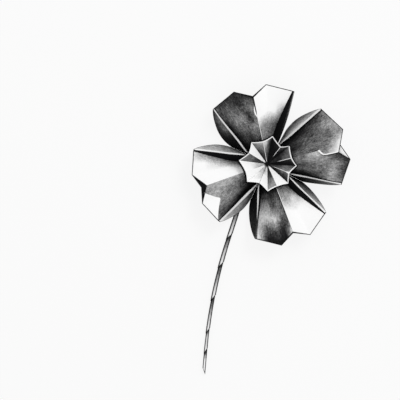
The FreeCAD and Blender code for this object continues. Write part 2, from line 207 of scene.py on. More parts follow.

# %% [markdown]
# ## Painted light and shade on paper
#
# Every sheet gets one kind of finish, white paper under graphite, and its mesh carries the pencil's marks,
# which paint light and shade into its colour. `shade` is the tone of that painted light and shade, from 0
# for black to 1 for bare paper. `margins` holds the distances in mm to the facet's left fold, right fold
# and outer end, and `lines` the widths there: above 0 a bare white band, a painted highlight, below 0 a
# pencil line. `step` is the distance past the fold of a tip that is folded over, which is left bare as
# painted light, and `strokes` is a UV map in mm, across and along the facet, for the direction of the
# pencil's strokes.
#
# The tooth of the paper, a mottle and large blotches break the graphite up, most where the tone is middling
# and hardly where the paper is bare. The tone is a lightness as the eye sees it, so it goes through a power
# of 2.2 to become a colour.

# %% Painted light and shade on paper
EYE_POWER = 2.2
LINE_SOFTNESS = 0.16
LINE_WOBBLE = 0.24
LINE_DEPTH = 0.93
BARE_PAPER = 1.0
SPECKLE_MM, SPECKLE_DETAIL, SPECKLE_ROUGHNESS = (0.55, 1.5, 4.0), (2.0, 2.0, 1.0), 0.6
STROKE_MM = (0.45, 3.5)
TOOTH_SHARE, MOTTLE_SHARE, BLOTCH_SHARE, STROKE_SHARE = 0.9, 0.7, 0.35, 0.7
GRAIN_IN_BLACK = 0.12
# The black of the painted shade and of the pencil lines.
SHADE_AND_LINE_BLACK = (0.004, 0.004, 0.0045, 1)
GRAPHITE_ROUGHNESS, PAPER_ROUGHNESS, SHINE = 0.7, 0.9, 0.06
RELIEF_STRENGTH, RELIEF_DEPTH = 0.25, 0.05


def paper_with_painted_shade(name, paper, grain):
    """White paper with light and shade painted on in graphite. paper is the sheet's own grey and grain how
    broken the tone is.
    """
    finish = Finish(name)
    place = finish.node("TexCoord", {}, "Object")
    sheet = finish.node("UVMap", {}, "UV", uv_map="strokes")

    def mark(attribute, output):
        return finish.node("Attribute", {}, output, attribute_name=attribute)

    stretched = finish.node("VectorMath", {0: sheet, 1: (1 / STROKE_MM[0], 1 / STROKE_MM[1], 0)}, "Vector",
                            operation="MULTIPLY")
    strokes = finish.noise(stretched, 1.0, 2.0, dimensions="2D")
    tooth, mottle, blotch = (finish.noise(place, 1 / (size * MM), detail, SPECKLE_ROUGHNESS)
                             for size, detail in zip(SPECKLE_MM, SPECKLE_DETAIL))

    margins, lines = mark("margins", "Vector"), mark("lines", "Vector")

    def line_masks(axis):
        """The white band, a painted highlight, and the pencil line along one border of the facet."""
        margin, width = (finish.node("SeparateXYZ", {0: vector}, axis) for vector in (margins, lines))
        rough_margin = margin + (mottle - 0.5) * LINE_WOBBLE
        white = ((width - rough_margin) / LINE_SOFTNESS).clamped()
        dark = ((0 - width - rough_margin) / LINE_SOFTNESS).clamped()
        return white, dark

    whites, darks = zip(*(line_masks(axis) for axis in "XYZ"))
    # The white bands along the borders are painted highlights.
    highlight_band = whites[0].larger(whites[1]).larger(whites[2])
    line = darks[0].larger(darks[1]).larger(darks[2])
    # A folded tip past its fold is left bare as painted light.
    lit_folded_tip = (mark("step", "Fac") / LINE_SOFTNESS).clamped()

    # shade is the painted light and shade of the facet, from black to bare paper.
    shade = mark("shade", "Fac")
    middling = shade * (1 - shade) * 4
    broken = ((tooth - 0.5) * TOOTH_SHARE + (mottle - 0.5) * MOTTLE_SHARE
              + (blotch - 0.5) * BLOTCH_SHARE + (strokes - 0.5) * STROKE_SHARE)
    tone = shade + broken * (middling + (1 - shade) * GRAIN_IN_BLACK) * grain
    tone = tone + (BARE_PAPER - tone) * lit_folded_tip.larger(highlight_band)
    tone = (tone * (1 - line * LINE_DEPTH)).clamped()
    colour = finish.node("Mix", {"Factor": tone ** EYE_POWER, "A": SHADE_AND_LINE_BLACK, "B": (paper,) * 3 + (1,)}, 2,
                         data_type="RGBA")
    relief = finish.node("Bump", {
        "Height": tooth + strokes * 0.5, "Strength": RELIEF_STRENGTH, "Distance": RELIEF_DEPTH * MM})
    roughness = GRAPHITE_ROUGHNESS + tone * (PAPER_ROUGHNESS - GRAPHITE_ROUGHNESS)
    skin = finish.node("BsdfPrincipled", {
        "Base Color": colour, "Roughness": roughness, "Specular IOR Level": SHINE, "Normal": relief})
    return finish.surface(skin)


petal_paper = paper_with_painted_shade("petal_paper", 0.93, 0.55)
star_paper = paper_with_painted_shade("star_paper", 0.94, 0.35)
plain_paper = paper_with_painted_shade("plain_paper", 0.92, 0.40)
print("finishes:", petal_paper.name, star_paper.name, plain_paper.name)

# %% [markdown]
# ## Marks on a panel
#
# The painted light and shade of a facet comes in a handful of pencil grades, so the tones of a facet are
# words of five letters, from near the root to the tip. A facet has two words or more, spread evenly from
# left to right, and the tone runs smoothly between all letters. A line along a border has one width, or a
# list of shares and widths between which it swells and fades.

# %% Marks on a panel
FAR = 99.0
# The grades of painted light and shade, from black to bare paper.
GRADES = {"k": 0.03, "n": 0.15, "d": 0.29, "g": 0.41, "m": 0.52, "l": 0.66, "p": 0.82, "w": BARE_PAPER}
GRADE_PLACES = (0.3, 0.475, 0.65, 0.825, 1.0)


def blend(start, end, share):
    """What lies at that share of the way from start to end."""
    return start + (end - start) * share


def tones(words, across, along):
    """The tone at each place: between the letters of each word first, then between neighbouring words."""
    along_words = np.array([np.interp(along, GRADE_PLACES, [GRADES[letter] for letter in word])
                            for word in words])
    place = across * (len(words) - 1)
    first = np.minimum(place.astype(int), len(words) - 2)
    return blend(along_words[first], along_words[first + 1], (place - first)[:, None])


def widths(line, along):
    """A line's width along its border, from one number or from a list of shares and widths."""
    if isinstance(line, (int, float)):
        return np.full(along.shape, float(line))
    return np.interp(along, *zip(*line))


def marked(grid, words, lines, fold=FAR):
    """The pencil marks of one panel, which paint its light and shade. lines gives its lines at the left
    fold, the right fold and the outer end. fold is the share of the length past which the tip is folded
    over and left bare as painted light. The distance to a side fold is a share of the panel's width there,
    and the distance to the end is the length still to walk, times the sine of the angle between the panel's
    end and its length."""
    columns, rows = grid.shape[:2]
    across = np.linspace(0, 1, columns)
    along = np.linspace(0, 1, rows)
    width = np.linalg.norm(grid[-1] - grid[0], axis=-1)
    steps = np.linalg.norm(np.diff(grid, axis=1), axis=-1)
    walked = np.pad(np.cumsum(steps, axis=1), ((0, 0), (1, 0)))
    length = walked[:, -1:]
    end_across = grid[-1, -1] - grid[0, -1]
    end_along = grid[columns // 2, -1] - grid[columns // 2, -2]
    square = np.linalg.norm(np.cross(end_across, end_along)) / (
        np.linalg.norm(end_across) * np.linalg.norm(end_along))
    from_left = across[:, None] * width
    return {
        "shade": tones(words, across, along)[..., None],
        "margins": np.stack([from_left, width - from_left, (length - walked) * square], -1),
        "lines": np.broadcast_to(np.stack([widths(line, along) for line in lines], -1), grid.shape),
        "step": np.broadcast_to((along - np.reshape(fold, (-1, 1))) * length, (columns, rows))[..., None],
        "strokes": np.stack([from_left, walked], -1),
    }


print("a middling tone is", GRADES["m"])

# %% [markdown]
# ## From grids to a mesh
#
# Every paper piece is a few grids of points. The corners of a grid's faces are four shifted copies of one
# array, for the points' numbers and for the marks alike. Corners, not points, carry the marks, because the
# tone jumps at a fold.

# %% From grids to a mesh
MARK_WIDTHS = {"shade": 1, "margins": 3, "lines": 3, "step": 1, "strokes": 2}
EDGE_TONE = 0.9
EDGE_MARKS = {"shade": EDGE_TONE, "margins": FAR, "lines": 0.0, "step": -FAR, "strokes": 0.0}
PLAIN_STROKE_STEP = 0.5
SHARP_DEGREES = 24


def corners(values):
    """Values on a grid of points as values on the four corners of its faces, face by face."""
    return np.stack([values[:-1, :-1], values[1:, :-1], values[1:, 1:], values[:-1, 1:]], axis=2)


def grid_faces(index):
    """The faces of a grid of point numbers."""
    return corners(index).reshape(-1, 4)


def grid_marks(*marks):
    """The marks on the corners of the grids' faces, as a table with a row for each corner."""
    return {key: np.concatenate([corners(mark[key]).reshape(-1, width) for mark in marks])
            for key, width in MARK_WIDTHS.items()}


def edge_marks(*shape):
    """The marks of a cut edge, which has no lines, on corners or points in a table of that shape."""
    return {key: np.full((*shape, width), EDGE_MARKS[key]) for key, width in MARK_WIDTHS.items()}


def plain_marks(shade):
    """Marks for a surface with a tone at each place and no lines: the strokes follow the grid."""
    steps = np.moveaxis(np.indices(shade.shape), 0, -1)
    return edge_marks(*shade.shape) | {"shade": shade[..., None], "strokes": steps * PLAIN_STROKE_STEP}


def turned_over(index, marks):
    """The faces and marks of a grid seen from its other side: the corners run the other way round."""
    return grid_faces(index)[:, ::-1], {
        key: values.reshape(-1, 4, values.shape[-1])[:, ::-1].reshape(values.shape)
        for key, values in marks.items()}


def make_piece(name, vertices, parts, finish):
    """A mesh object from points in mm and from parts, each a table of faces and the marks of their
    corners."""
    faces = [face for faces, _ in parts for face in np.asarray(faces).tolist()]
    mesh = bpy.data.meshes.new(name)
    mesh.from_pydata((vertices * MM + HEAD).tolist(), [], faces)
    mesh.polygons.foreach_set("use_smooth", np.ones(len(faces), bool))
    for key, width in MARK_WIDTHS.items():
        values = np.concatenate([marks[key] for _, marks in parts]).astype(float).ravel()
        if key == "strokes":
            mesh.uv_layers.new(name=key).uv.foreach_set("vector", values)
        else:
            kind, field = ("FLOAT", "value") if width == 1 else ("FLOAT_VECTOR", "vector")
            mesh.attributes.new(key, kind, "CORNER").data.foreach_set(field, values)
    mesh.materials.append(finish)
    mesh.set_sharp_from_angle(angle=math.radians(SHARP_DEGREES))
    mesh.update()
    return add_object(name, mesh)


def dress(piece, node):
    """Lets a piece ride with the flower in place of a node, which is hidden."""
    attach(piece, "root")
    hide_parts(node)
    print(piece.name, "has", len(piece.data.polygons), "faces")


print("a grid of 3 by 3 points has", len(grid_faces(np.arange(9).reshape(3, 3))), "faces")

# %% [markdown]
# ## A folded sheet
#
# A folded sheet is known by its fold lines. Each is a smooth curve through a few points, from the root to
# the outer edge, and the paper between two neighbours is ruled: straight from one to the other. The
# underside is the same grid moved down by the paper's thickness. At a fold it moves along the bisector of
# the two facets, further by one over the cosine of half the fold, so that both keep their thickness. A
# strip round the border closes the sheet.

# %% A folded sheet
PAPER = 0.3
SHARPEST_MITRE = 0.45
EDGE_SHADE_REACHES = (24, 32)
BOW_FADE = 0.5


def polar(reach, angle, height):
    """The points at those distances and directions from the head's axis, in mm and degrees."""
    turn = np.radians(angle)
    return np.stack(np.broadcast_arrays(reach * np.cos(turn), reach * np.sin(turn), height), axis=-1)


def smooth_line(points, rows):
    """A cubic curve through the points, sampled at equal steps of its parameter. The parameter grows with
    the distance between the points. At each inner point both sides have one slope and one bend, which
    gives one linear equation for each slope. The end slopes are those of a parabola through three points.
    """
    points = np.asarray(points, float)
    spans = np.linalg.norm(np.diff(points, axis=0), axis=1)
    knots = np.concatenate([[0], np.cumsum(spans)]) / spans.sum()
    gap = np.diff(knots)
    rate = np.diff(points, axis=0) / gap[:, None]
    count = len(points)
    inner = np.arange(1, count - 1)
    equations = np.eye(count)
    equations[inner, inner - 1] = gap[1:]
    equations[inner, inner] = 2 * (gap[:-1] + gap[1:])
    equations[inner, inner + 1] = gap[:-1]
    slopes = np.empty_like(points)
    slopes[1:-1] = 3 * (gap[1:, None] * rate[:-1] + gap[:-1, None] * rate[1:])
    slopes[0] = rate[0] - gap[0] / (gap[0] + gap[1]) * (rate[1] - rate[0])
    slopes[-1] = rate[-1] + gap[-1] / (gap[-1] + gap[-2]) * (rate[-1] - rate[-2])
    slopes = np.linalg.solve(equations, slopes)
    share = np.linspace(0, 1, rows)
    span = np.clip(np.searchsorted(knots, share, side="right") - 1, 0, count - 2)
    width = gap[span][:, None]
    part = (share - knots[span])[:, None] / width
    rest = 1 - part
    return (points[span] * (1 + 2 * part) * rest ** 2 + points[span + 1] * (3 - 2 * part) * part ** 2
            + width * (slopes[span] * part * rest ** 2 - slopes[span + 1] * part ** 2 * rest))


def panel(left, right, columns, bow=0.0):
    """The grid of points between two fold lines, ruled straight and bowed upwards by up to bow mm: half a
    sine wave across, times the root of half a sine wave along."""
    across = np.linspace(0, 1, columns + 1)[:, None]
    along = np.linspace(0, 1, len(left))
    grid = blend(left[None], right[None], across[..., None])
    grid[..., 2] += bow * np.sin(np.pi * across) * np.abs(np.sin(np.pi * along)) ** BOW_FADE
    return grid


def unit(vectors):
    """The vectors at length 1."""
    return vectors / np.linalg.norm(vectors, axis=-1, keepdims=True)


def joined(grids):
    """Grids that share their border columns as one grid."""
    return np.concatenate([grid[:-1] for grid in grids[:-1]] + [grids[-1]])


def folded_layer(panels, marks, first):
    """The points and the parts of a closed folded sheet. first is the number of its first point. The
    underside is the points less the paper times their normals, and at a fold less the sum of the two
    normals over one plus their cosine. The cut edge is painted black near the head's axis, as painted shade
    deep in the seams, and pale further out."""
    points = joined(panels)
    normals = [unit(np.cross(np.gradient(grid, axis=0), np.gradient(grid, axis=1))) for grid in panels]
    for before, after in zip(normals[:-1], normals[1:]):
        mitre = np.maximum(1 + (before[-1] * after[0]).sum(-1, keepdims=True), SHARPEST_MITRE)
        after[0] = (before[-1] + after[0]) / mitre
    under = points - joined(normals) * PAPER
    upper = first + np.arange(points[..., 0].size).reshape(points.shape[:2])
    lower = upper + upper.size
    border = np.concatenate([upper[:-1, 0], upper[-1, :-1], upper[:0:-1, -1], upper[0, :0:-1]])
    ahead = np.roll(border, -1)
    rim = np.stack([border, border + upper.size, ahead + upper.size, ahead], axis=1)
    rim_marks = edge_marks(rim.size)
    reach = np.hypot(*points[..., :2].reshape(-1, 2)[border - first].T)
    # Painted shade on the cut edge: black deep in the seams near the hub, pale further out.
    rim_marks["shade"] = np.repeat(np.interp(reach, EDGE_SHADE_REACHES, (GRADES["k"], EDGE_TONE)), 4)[:, None]
    over = grid_marks(*marks)
    parts = [(grid_faces(upper), over), turned_over(lower, over), (rim, rim_marks)]
    return np.concatenate([points.reshape(-1, 3), under.reshape(-1, 3)]), parts


quarter = np.linalg.norm(smooth_line(polar(1, np.array([0, 45, 90]), 0), 9), axis=1)
print("a smooth line through three points of a circle strays", round(float(np.ptp(quarter)) * 100, 1), "%")

# %% [markdown]
# ## The star's shape
#
# The star is a pleated sheet: creases run from a small foot on the hub out to eight tips and eight corners
# between them, and the edge curves in a little from crease to crease. A crease to a tip is a valley, a
# crease to a corner is a ridge. The star lies over the petals, and its shadow is painted on them as a black
# line round its edge, which also outlines it, so its shape comes before theirs.

# %% The star's shape
STAR_ANGLES = (79.7, 52.5, 39.5, 13.5, -3.7, -23.0, -43.2, -67.5,
               -89.7, -113.5, -138.9, -160.0, -187.0, -210.0, -233.0, -258.5)
STAR_SHARES = (1.005, 0.94, 1.01, 1.08, 1.045, 1.03, 1.015, 1.06,
               0.98, 0.91, 0.97, 1.02, 1.03, 0.945, 0.96, 1.0)
STAR_REACH, STAR_WAIST, STAR_RISE, STAR_RIDGE_RISE = 17.7, 14.5, 9.2, 10.6
STAR_FOOT, STAR_HOLLOW = 1.1, 0.25
STAR_ROWS, STAR_COLUMNS = 30, 6
STAR_SHADOW, STAR_SHADOW_EDGE = 0.7, 0.5


def star_facets():
    """The grids of the star's facets. The outer edge is the chord moved in by a parabola's height."""
    corner = np.arange(len(STAR_ANGLES)) % 2
    ends = polar(np.array(STAR_SHARES) * np.where(corner, STAR_WAIST, STAR_REACH), STAR_ANGLES,
                 HUB_TOP + np.where(corner, STAR_RIDGE_RISE, STAR_RISE))
    foot = polar(STAR_FOOT, STAR_ANGLES, HUB_TOP)
    across = np.linspace(0, 1, STAR_COLUMNS + 1)[:, None]
    along = np.linspace(0, 1, STAR_ROWS)[None, :, None]
    grids = []
    for end, next_end, root, next_root in zip(ends, np.roll(ends, -1, 0), foot, np.roll(foot, -1, 0)):
        rim = blend(end, next_end, across)
        rim = rim - unit(rim * (1, 1, 0)) * STAR_HOLLOW * 4 * across * (1 - across)
        grids.append(blend(blend(root, next_root, across)[:, None], rim[:, None], along))
    return grids


STAR_GRIDS = star_facets()
star_rim = np.concatenate([grid[:, -1] for grid in STAR_GRIDS])
star_rim_angles = np.degrees(np.arctan2(star_rim[:, 1], star_rim[:, 0]))
star_rim_reaches = np.hypot(star_rim[:, 0], star_rim[:, 1])


def faded(mark, clear, edge):
    """The marks with tone and lines times the distance clear over edge, which is held between 0 and 1."""
    share = np.clip(clear / edge, 0, 1)[..., None]
    return mark | {"shade": mark["shade"] * share, "lines": mark["lines"] * share}


def paint_star_shadow(grid, mark):
    """Paints the star's shadow round it as a black line: near its edge, and under it, a petal is black and
    has no lines.
    """
    angles = np.degrees(np.arctan2(grid[..., 1], grid[..., 0]))
    star_reach = np.interp(angles, star_rim_angles, star_rim_reaches, period=360)
    return faded(mark, np.hypot(grid[..., 0], grid[..., 1]) - star_reach - STAR_SHADOW, STAR_SHADOW_EDGE)


print("the star reaches", star_rim_reaches.max().round(1), "mm and has", len(STAR_GRIDS), "facets")

# %% [markdown]
# ## Petals
#
# A petal has two lobes with a crease between them. Beside each lobe the paper dips into a valley, climbs a
# steep wall to a sharp ridge, and falls away from it as a skirt that carries the flower. The fold lines of
# one side are skirt, ridge, valley and lobe; the crease belongs to both sides. The sizes are those of the
# part, so that each sheet lies where the part's solid is. `COLUMNS` and `BOWS` are those of the skirt, the
# wall, the outer lobe and the inner lobe.

# %% Sizes of the petals
GLUE_LINE = 0.06
ROOT = HUB_RADIUS + GLUE_LINE
SKIRT_ROOT, RIDGE_ROOT, VALLEY_ROOT, LOBE_ROOT, CREASE_ROOT = 2.2, 0.6, 1.2, 1.0, 0.8
SEAM_GAP = 0.06
THROAT_REACH, THROAT_HEIGHT = 11.0, 11.4
CORNER_HEIGHT, CORNER_BLUNT = 17.6, 0.8
TIP_HEIGHT = 16.4
NOTCH_HEIGHT, CREASE_HEIGHT = 17.2, 13.8
VALLEY_HEIGHT, VALLEY_DIP = 8.6, 0.6
OPEN_VALLEY, SHUT_VALLEY = 4.0, 1.3
SKIRT_REACH, LOW_SKIRT, LIFTED_SKIRT = 25.0, 0.5, 4.4
TUCK_DEPTH, TUCK_CORNER, TUCK_DROP = 9.0, 1.0, 1.2
TOP_LEFT, TOP_RIGHT, BOTTOM_RIGHT, BOTTOM_LEFT = 154.0, 61.0, -26.0, -115.0

ROWS = 90
COLUMNS, BOWS = (8, 4, 12, 12), (0, 0, 0.45, 0.45)
print("a petal starts", round(ROOT, 2), "mm from the head's axis")

# %% [markdown]
# Each petal below has its sizes, then its two sides, the counter-clockwise one first. A side has its place
# and form, and then its pencil, which is painted light and shade: words for the skirt, the wall and the
# lobe, from the hem inwards, and the lines along the hem, the ridge (`band` on the skirt, `brow` on the
# wall) and the crease. A line above 0 is a bare white band, a painted highlight, and one below 0 a dark
# line. The
# third of the lobe's words is its middle line. `under` is the tone of the margin turned under the tips:
# painted shade where it is dark, painted light where it is bare. `slit` says how the two lobes part near
# the notch: at shares of the crease, in mm, the opening between the lips, their swerve to the right and the
# rise of the left lip. `fold_over` is a folded tip, left bare as painted light: at places across the lobe,
# 0 at the valley and 2 at the crease, the share of the length where it starts.

# %% The four petals
WHOLE_CREASE = dict(share=(0, 1), opening=(0, 0), swerve=(0, 0), rise=(0, 0))
USUAL_SIDE = dict(valley=SHUT_VALLEY, floor=LOW_SKIRT, flares=(1.0, 1.0), hem=-0.50, brow=0.2, crease=0)
# OUTLINE is the pencil line round a petal's outer end. The other is the dark line in each valley fold: an
# outline and painted shade in the crease.
OUTLINE, VALLEY_OUTLINE_AND_SHADE = -0.55, -0.25
PETALS = {
    "petal_top": dict(
        corner=48.6, notch=43.3, tip=50.2, peek=0.5, under="kkkkk",
        slit=dict(share=(0.70, 0.76, 1), opening=(0, 0.6, 0.8), swerve=(0, 0, 0), rise=(0, 0.1, 0.2)),
        sides=(
            dict(seam=TOP_LEFT, inset=19.3, turn=12.6,
                 skirt="kkknn kkggn kkgmd", wall="kkknn", lobe="knndd ngmgn ngmnn dmngn nmmmn",
                 band=[(0, 2.6), (0.8, 1.8), (1, 0.3)], brow=0.5,
                 crease=[(0.5, -0.3), (0.6, 0), (0.66, 0), (0.71, 1.1), (0.79, 0.9), (0.87, 0)]),
            dict(seam=TOP_RIGHT, inset=9.0, turn=11.2, valley=OPEN_VALLEY, flares=(0.5, 0.5),
                 skirt="nndgl kndgl kkndl kkkkd", wall="kkkkk", lobe="dgmww ggwww gmwww mmwww mlwww",
                 hem=[(0.5, -0.5), (0.6, -0.1)], band=0, brow=0,
                 crease=[(0, 0.3), (0.6, 0.4), (0.8, 0)]))),
    "petal_right": dict(
        corner=48.4, notch=45.4, tip=52.4, peek=2.0, under="wwwww",
        slit=dict(share=(0, 0.70, 0.73, 0.755, 0.80, 0.90, 1), opening=(0, 0) + (0.1,) * 5,
                  swerve=(0, 0.3, 2.8, 3.7, 4.25, 4.5, 4.6), rise=(0, 0.1, 0.6, 0.8, 1.0, 1.0, 0.9)),
        sides=(
            dict(seam=TOP_RIGHT, inset=15.5, turn=9.4,
                 skirt="gddgp gmmlw lpplw pwwpw", wall="kkkkn", lobe="kknng nddml ndggl dggmw dgdlw",
                 hem=[(0.5, 0.6), (0.54, -0.5)], band=3.2,
                 crease=[(0.695, 0), (0.71, 1.5), (0.735, 1.5), (0.76, 0.8), (1, 0.7)]),
            dict(seam=BOTTOM_RIGHT, inset=10.8, turn=11.8, flares=(1.0, 0.75),
                 skirt="kndgm kndgm", wall="kkkkn", lobe="kndlg dggln dgmmn gmlgn gmpmn",
                 band=[(0, 3.2), (0.5, 2.8), (1, 2.2)], brow=0.6,
                 crease=[(0.7, 0), (0.8, -0.5)]))),
    "petal_bottom": dict(
        corner=47.9, notch=46.0, tip=52.2, peek=0.5, under="ddddd", slit=WHOLE_CREASE,
        sides=(
            dict(seam=BOTTOM_RIGHT, inset=14.1, turn=10.6, valley=OPEN_VALLEY, flares=(1.0, 0.9),
                 skirt="kngml kgmpw", wall="kkkkk", lobe="nlwww dpwww gpwww glwww mlwww",
                 band=2.2, brow=0.5, crease=[(0.7, 0.4), (0.9, 0)]),
            dict(seam=BOTTOM_LEFT, inset=16.0, turn=10.6, floor=LIFTED_SKIRT, flares=(1.0, 0.9),
                 skirt="kknnn kkknd", wall="kkndm", lobe="kmppw nmpdk ndpdk ngmnk nddgw",
                 band=[(0, 2.2), (0.45, 1.8), (0.68, 0.6), (0.75, 0)],
                 brow=[(0, 0.6), (0.6, 0.5), (0.75, 0)],
                 crease=[(0.7, -0.4), (0.85, -0.2), (0.9, 0)]))),
    "petal_left": dict(
        corner=47.4, notch=41.0, tip=48.2, peek=3.4, under="kkkkk", slit=WHOLE_CREASE,
        sides=(
            dict(seam=BOTTOM_LEFT + 360, inset=15.0, turn=11.6, floor=LIFTED_SKIRT,
                 skirt="kdmpw ngllw dmllp", wall="kkkkn", lobe="kknng ngmmg dgmlm gmllm mllll",
                 band=[(0, 3.4), (1, 2.4)], brow=0.5,
                 fold_over=((0, 1.0), (0.8, 0.74), (1, 0.787), (1.3, 0.883), (1.6, 1.0), (2, 1.15))),
            dict(seam=TOP_LEFT, inset=15.1, turn=11.2, valley=OPEN_VALLEY,
                 skirt="gmllp mlppw", wall="kkkkk", lobe="ngmmp dlpww lwwww wwwww wwwww", band=2.9))),
}
print("petals:", ", ".join(PETALS))

# %% [markdown]
# The skirt's hem, the ridge, the valley and the lobe's middle are worked out from the seam between two
# petals, the corner and the tip. They start close together on the hub and spread as the petal widens. The
# numbers are shares of the petal's lengths, heights and angles.

# %% One side of a petal
STRAIGHT_PLACES = np.array([0, 0.3, 0.56, 0.8, 1])
VALLEY_START, LOBE_START = 0.33, 0.66
THROAT_HANG, BELLY_HANG, LIP_HANG = 0.42, 0.06, 0.5
BULGE_OUT, BULGE_ASIDE, LIP_OUT, LIP_ASIDE = 0.36, 0.76, 0.68, 0.42
VALLEY_WIDTHS = np.array([0.75, 1.0, 0.8, 0.5])
CLIMBS, TIP_CLIMBS = np.array([0.3, 0.68]), np.array([0.25, 0.75])
LOBE_PLACES, LOBE_TURNS = np.array([0, 0.26, 0.5, 0.75, 1]), np.array([1.5, 1.35, 1.2, 1.1, 1.0])


def petal_side(side, corner, middle, reach, tip_reach):
    """The fold lines skirt, ridge, valley and lobe of one side, each through six points from root to edge.
    A point of the first two that came nearer to the seam than half the gap moves straight back to there."""
    inward = 1 if middle > side["seam"] else -1

    def on_seam(distance, height):
        aside = np.degrees(np.arcsin(SEAM_GAP / 2 / distance))
        return polar(distance, side["seam"] + inward * aside, height)

    corner_point = polar(reach, corner, CORNER_HEIGHT)
    inside = polar(1, corner + inward * 90, 0)
    throat = on_seam(THROAT_REACH, THROAT_HEIGHT)
    ridge = np.vstack([on_seam(ROOT, HUB_TOP - RIDGE_ROOT),
                       blend(throat, corner_point, STRAIGHT_PLACES[:, None])])

    low = side["floor"]
    hang = THROAT_HEIGHT - low
    skirt = np.array([
        on_seam(ROOT, HUB_TOP - SKIRT_ROOT),
        on_seam(THROAT_REACH, low + THROAT_HANG * hang),
        on_seam(SKIRT_REACH, low + BELLY_HANG * hang),
        polar(blend(SKIRT_REACH, reach, BULGE_OUT), blend(corner, side["seam"], BULGE_ASIDE), low),
        polar(blend(SKIRT_REACH, reach, LIP_OUT), blend(corner, side["seam"], LIP_ASIDE),
              low + LIP_HANG * hang),
        corner_point - inside * (CORNER_BLUNT / 2) - (0, 0, 1.5 * CORNER_BLUNT),
    ])
    skirt[1:5, :2] = blend(ridge[1:5, :2], skirt[1:5, :2], np.repeat(side["flares"], 2)[:, None])

    valley = np.vstack([polar(ROOT, blend(side["seam"], middle, VALLEY_START), HUB_TOP - VALLEY_ROOT),
                        ridge[1:5] + inside * (side["valley"] * VALLEY_WIDTHS[:, None]),
                        corner_point + inside * CORNER_BLUNT])
    valley[1:, 2] = (VALLEY_HEIGHT - VALLEY_DIP, VALLEY_HEIGHT,
                     *blend(VALLEY_HEIGHT, CORNER_HEIGHT, CLIMBS), CORNER_HEIGHT - 0.5 * CORNER_BLUNT)

    heights = np.array([*blend(VALLEY_HEIGHT, CREASE_HEIGHT, CLIMBS),
                        *blend(CREASE_HEIGHT, TIP_HEIGHT, TIP_CLIMBS), TIP_HEIGHT])
    lobe = np.vstack([polar(ROOT, blend(side["seam"], middle, LOBE_START), HUB_TOP - LOBE_ROOT),
                      polar(blend(THROAT_REACH, tip_reach, LOBE_PLACES),
                            middle - inward * side["turn"] * LOBE_TURNS, heights)])
    lines = [smooth_line(line, ROWS) for line in (skirt, ridge, valley, lobe)]
    off_seam = polar(1, side["seam"] + inward * 90, 0)
    for line in lines[:2]:
        line += off_seam * np.maximum(SEAM_GAP / 2 - line @ off_seam, 0)[:, None]
    return lines


print("neighbouring petals stay", SEAM_GAP, "mm apart")

# %% [markdown]
# Near the notch the two lobes may part. One petal's crease opens into a narrow slit, and on another one
# lobe swerves and curls up over its neighbour. So the crease is three lines close together: a lip on each
# side, and the bottom of the groove between them.


# %% The crease
HAIRLINE = 0.10
CREASE_PLACES = np.array([0, 0.2, 0.42, 0.64, 0.84, 1])
ROOT_CLIMB, NOTCH_CLIMBS = 0.35, np.array([0.5, 0.82])


def crease_lines(petal, middle):
    """The left lip, the groove and the right lip. The crease is a smooth line from the hub to the notch.
    The slit's sizes run evenly between the given shares of it."""
    heights = np.array([HUB_TOP - CREASE_ROOT, blend(HUB_TOP, CREASE_HEIGHT, ROOT_CLIMB), CREASE_HEIGHT,
                        *blend(CREASE_HEIGHT, NOTCH_HEIGHT, NOTCH_CLIMBS), NOTCH_HEIGHT])
    centre = smooth_line(polar(blend(ROOT, petal["notch"], CREASE_PLACES), middle, heights), ROWS)
    along = np.linspace(0, 1, ROWS)
    slit = petal["slit"]
    opening, swerve, rise = (np.interp(along, slit["share"], slit[key])[:, None]
                             for key in ("opening", "swerve", "rise"))
    opening = opening + HAIRLINE
    to_left = polar(1, middle + 90, 0)
    up = np.array([0, 0, 1.0])
    centre = centre - to_left * swerve
    return centre + to_left * opening / 2 + up * rise, centre - up * opening, centre - to_left * opening / 2


print("a shut crease is", HAIRLINE, "mm wide")

# %% [markdown]
# The front of a petal is its two sides with the crease between them. A tip that is folded over lies a
# little higher than the rest of its lobe.


# %% The front of a petal
TIP_LIFT = 0.25


